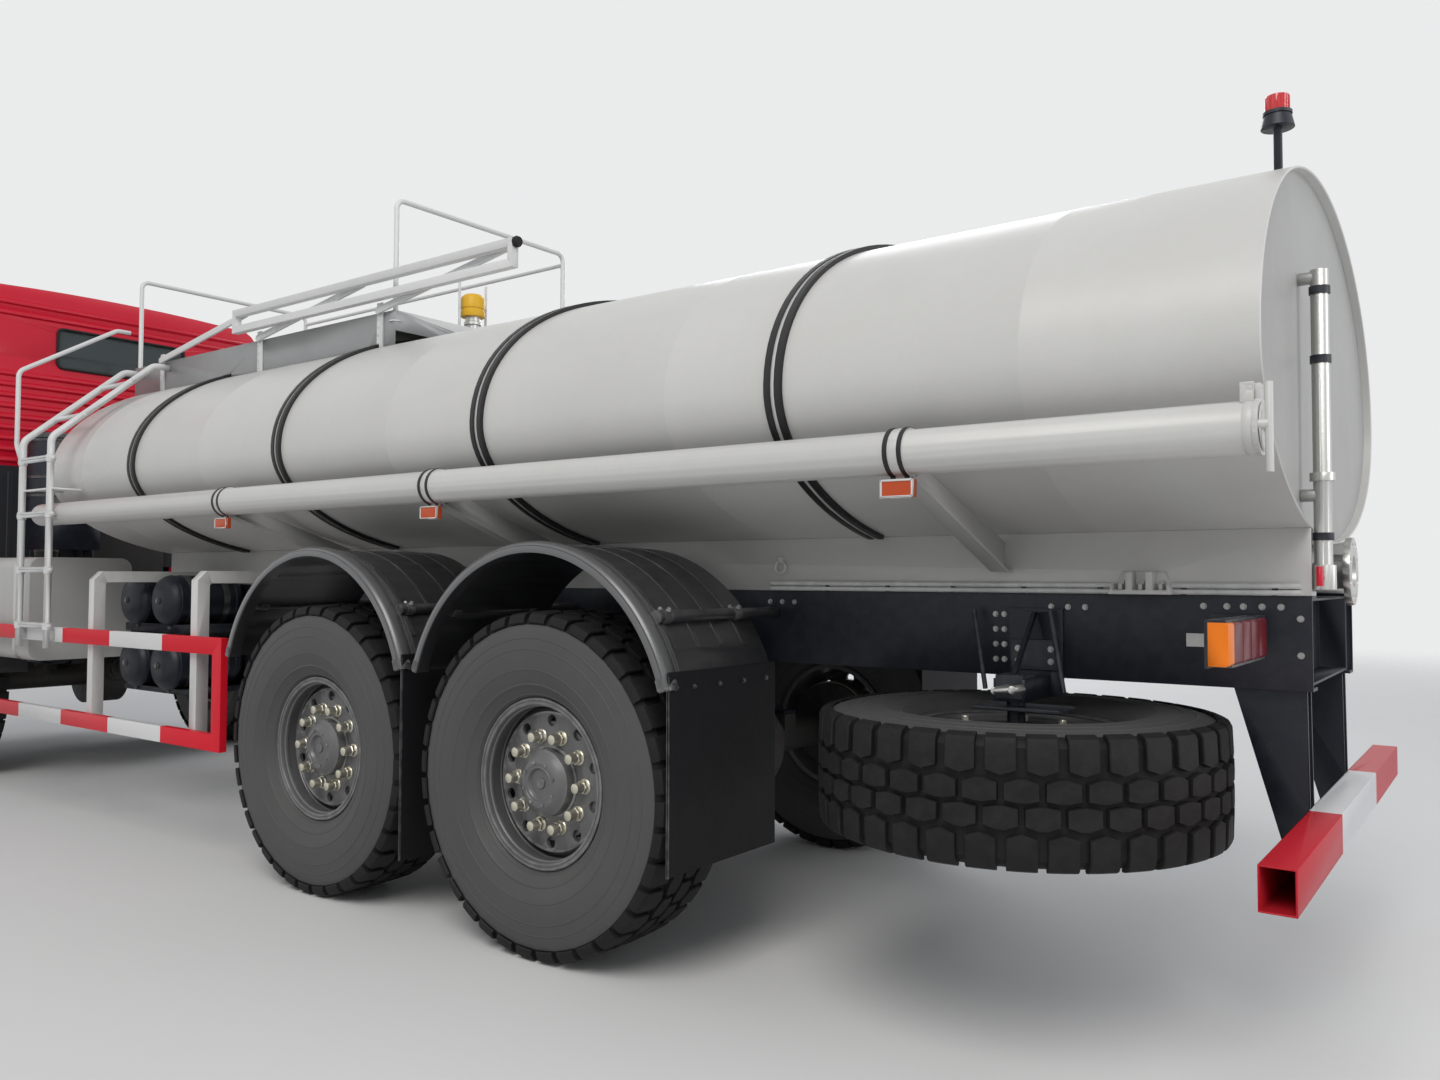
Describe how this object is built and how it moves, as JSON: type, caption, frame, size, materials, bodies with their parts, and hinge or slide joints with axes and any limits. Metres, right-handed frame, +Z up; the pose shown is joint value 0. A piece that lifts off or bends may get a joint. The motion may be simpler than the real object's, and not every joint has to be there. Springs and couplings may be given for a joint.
{
  "type": "tanker truck",
  "caption": "Off-road tanker truck with a red cab, long oval tank with black straps, top walkway with folding rail, side ladder, hose tube and striped guards.",
  "frame": {"origin": "on the ground under the middle of the overall length and width", "axes": "+X forward, +Y to the left, +Z up"},
  "size_m": [9.82, 2.82, 3.4359],
  "materials": {
    "tank_paint": "semi-gloss light warm grey-white paint",
    "cab_red": "gloss red paint",
    "chassis_black": "satin black paint",
    "guard_paint": "gloss red and white striped paint",
    "bracket_white": "semi-gloss white paint",
    "box_grey": "satin light grey paint",
    "rim_dark": "satin dark grey paint",
    "tread_rubber": "matt black rubber",
    "flap_rubber": "matt black rubber",
    "lens_red": "clear red plastic",
    "lens_amber": "clear amber plastic",
    "lens_clear": "clear lamp glass",
    "window_glass": "slightly tinted glass",
    "seat_cloth": "dark woven cloth",
    "cast_dark": "painted casting",
    "spring_steel": "black coated steel",
    "rail_metal": "bare light metal",
    "mirror_black": "matt black plastic",
    "grille_black": "matt black plastic"
  },
  "bodies": {
    "chassis": {"frame": "chassis_black", "tank": "tank_paint", "manhole_neck": "tank_paint", "tank_bands": "chassis_black", "tank_cradle": "tank_paint", "hose_tube": "tank_paint", "walkway": "bracket_white", "ladder": "bracket_white", "vent_valve": "rail_metal", "rear_pipework": "tank_paint", "rear_bumper": "guard_paint", "lamps_red": "lens_red", "lamps_amber": "lens_amber", "mudguards": "chassis_black", "mudflaps": "flap_rubber", "side_guards": "guard_paint", "air_reservoirs": "chassis_black", "side_boxes": "box_grey", "spare_tyre": "tread_rubber", "spare_rim": "rim_dark", "rear_brackets": "chassis_black", "engine": "cast_dark", "driveline": "cast_dark", "axle_beams": "cast_dark", "springs": "spring_steel", "front_bumper": "chassis_black", "headlamps": "lens_clear", "air_cleaner": "chassis_black"},
    "cab": {"cab_shell": "cab_red", "cab_roof": "cab_red", "cab_glass": "window_glass", "cab_grille": "grille_black", "cab_seats": "seat_cloth", "mirrors": "mirror_black"},
    "door_left": {"door_left": "cab_red", "door_glass_left": "window_glass"},
    "door_right": {"door_right": "cab_red", "door_glass_right": "window_glass"},
    "manhole_lid": {"manhole_lid": "tank_paint"},
    "tube_cap": {"tube_cap": "tank_paint"},
    "guard_leg_front": {"guard_leg_front": "rail_metal"},
    "guard_leg_middle": {"guard_leg_middle": "rail_metal"},
    "guard_leg_rear": {"guard_leg_rear": "rail_metal"},
    "guard_bar": {"guard_bar": "rail_metal"},
    "knuckle_left": {"knuckle_left": "cast_dark"},
    "knuckle_right": {"knuckle_right": "cast_dark"},
    "wheel_front_left": {"tyre_front_left": "tread_rubber", "wheel_front_left": "rim_dark"},
    "wheel_front_right": {"tyre_front_right": "tread_rubber", "wheel_front_right": "rim_dark"},
    "wheel_middle_left": {"tyre_middle_left": "tread_rubber", "wheel_middle_left": "rim_dark"},
    "wheel_middle_right": {"tyre_middle_right": "tread_rubber", "wheel_middle_right": "rim_dark"},
    "wheel_rear_left": {"tyre_rear_left": "tread_rubber", "wheel_rear_left": "rim_dark"},
    "wheel_rear_right": {"tyre_rear_right": "tread_rubber", "wheel_rear_right": "rim_dark"}
  },
  "joints": [
    {"name": "cab_tilt", "type": "hinge", "parent": "chassis", "child": "cab", "pos_m": [4.695, 0, 1.24], "axis": [0, 1, 0], "range_deg": [0, 50]},
    {"name": "door_left_hinge", "type": "hinge", "parent": "cab", "child": "door_left", "pos_m": [4.589, 1.214, 1.7], "axis": [0, 0, -1], "range_deg": [0, 70]},
    {"name": "door_right_hinge", "type": "hinge", "parent": "cab", "child": "door_right", "pos_m": [4.589, -1.214, 1.7], "axis": [0, 0, 1], "range_deg": [0, 70]},
    {"name": "manhole_lid_hinge", "type": "hinge", "parent": "chassis", "child": "manhole_lid", "pos_m": [0.198, 0, 2.732], "axis": [0, 1, 0], "range_deg": [0, 100]},
    {"name": "tube_cap_hinge", "type": "hinge", "parent": "chassis", "child": "tube_cap", "pos_m": [-4.834, 1.165, 1.801], "axis": [0, 1, 0], "range_deg": [0, 110]},
    {"name": "guard_leg_front_pivot", "type": "hinge", "parent": "chassis", "child": "guard_leg_front", "pos_m": [1.384, 0.611, 2.68], "axis": [0, 1, 0], "range_deg": [0, 80.9]},
    {"name": "guard_leg_middle_pivot", "type": "hinge", "parent": "chassis", "child": "guard_leg_middle", "pos_m": [0.306, 0.611, 2.68], "axis": [0, 1, 0], "range_deg": [0, 80.9]},
    {"name": "guard_leg_rear_pivot", "type": "hinge", "parent": "chassis", "child": "guard_leg_rear", "pos_m": [-0.771, 0.611, 2.68], "axis": [0, 1, 0], "range_deg": [0, 80.9]},
    {"name": "guard_bar_pivot", "type": "hinge", "parent": "guard_leg_front", "child": "guard_bar", "pos_m": [0.43312, 0.611, 2.83231], "axis": [0, 1, 0], "range_deg": [-80.9, 0]},
    {"name": "steer_left", "type": "hinge", "parent": "chassis", "child": "knuckle_left", "pos_m": [3.47, 0.815, 0.62], "axis": [0, 0, 1], "range_deg": [-32, 32]},
    {"name": "steer_right", "type": "hinge", "parent": "chassis", "child": "knuckle_right", "pos_m": [3.47, -0.815, 0.62], "axis": [0, 0, 1], "range_deg": [-32, 32]},
    {"name": "roll_front_left", "type": "hinge", "parent": "knuckle_left", "child": "wheel_front_left", "pos_m": [3.47, 1.02, 0.62], "axis": [0, 1, 0], "continuous": true},
    {"name": "roll_front_right", "type": "hinge", "parent": "knuckle_right", "child": "wheel_front_right", "pos_m": [3.47, -1.02, 0.62], "axis": [0, 1, 0], "continuous": true},
    {"name": "roll_middle_left", "type": "hinge", "parent": "chassis", "child": "wheel_middle_left", "pos_m": [-1.13, 1.02, 0.62], "axis": [0, 1, 0], "continuous": true},
    {"name": "roll_middle_right", "type": "hinge", "parent": "chassis", "child": "wheel_middle_right", "pos_m": [-1.13, -1.02, 0.62], "axis": [0, 1, 0], "continuous": true},
    {"name": "roll_rear_left", "type": "hinge", "parent": "chassis", "child": "wheel_rear_left", "pos_m": [-2.48, 1.02, 0.62], "axis": [0, 1, 0], "continuous": true},
    {"name": "roll_rear_right", "type": "hinge", "parent": "chassis", "child": "wheel_rear_right", "pos_m": [-2.48, -1.02, 0.62], "axis": [0, 1, 0], "continuous": true}
  ],
  "couplings": [
    {"joint": "guard_leg_middle_pivot", "follows": "guard_leg_front_pivot", "ratio": 1},
    {"joint": "guard_leg_rear_pivot", "follows": "guard_leg_front_pivot", "ratio": 1},
    {"joint": "guard_bar_pivot", "follows": "guard_leg_front_pivot", "ratio": -1},
    {"joint": "steer_right", "follows": "steer_left", "ratio": 1}
  ]
}
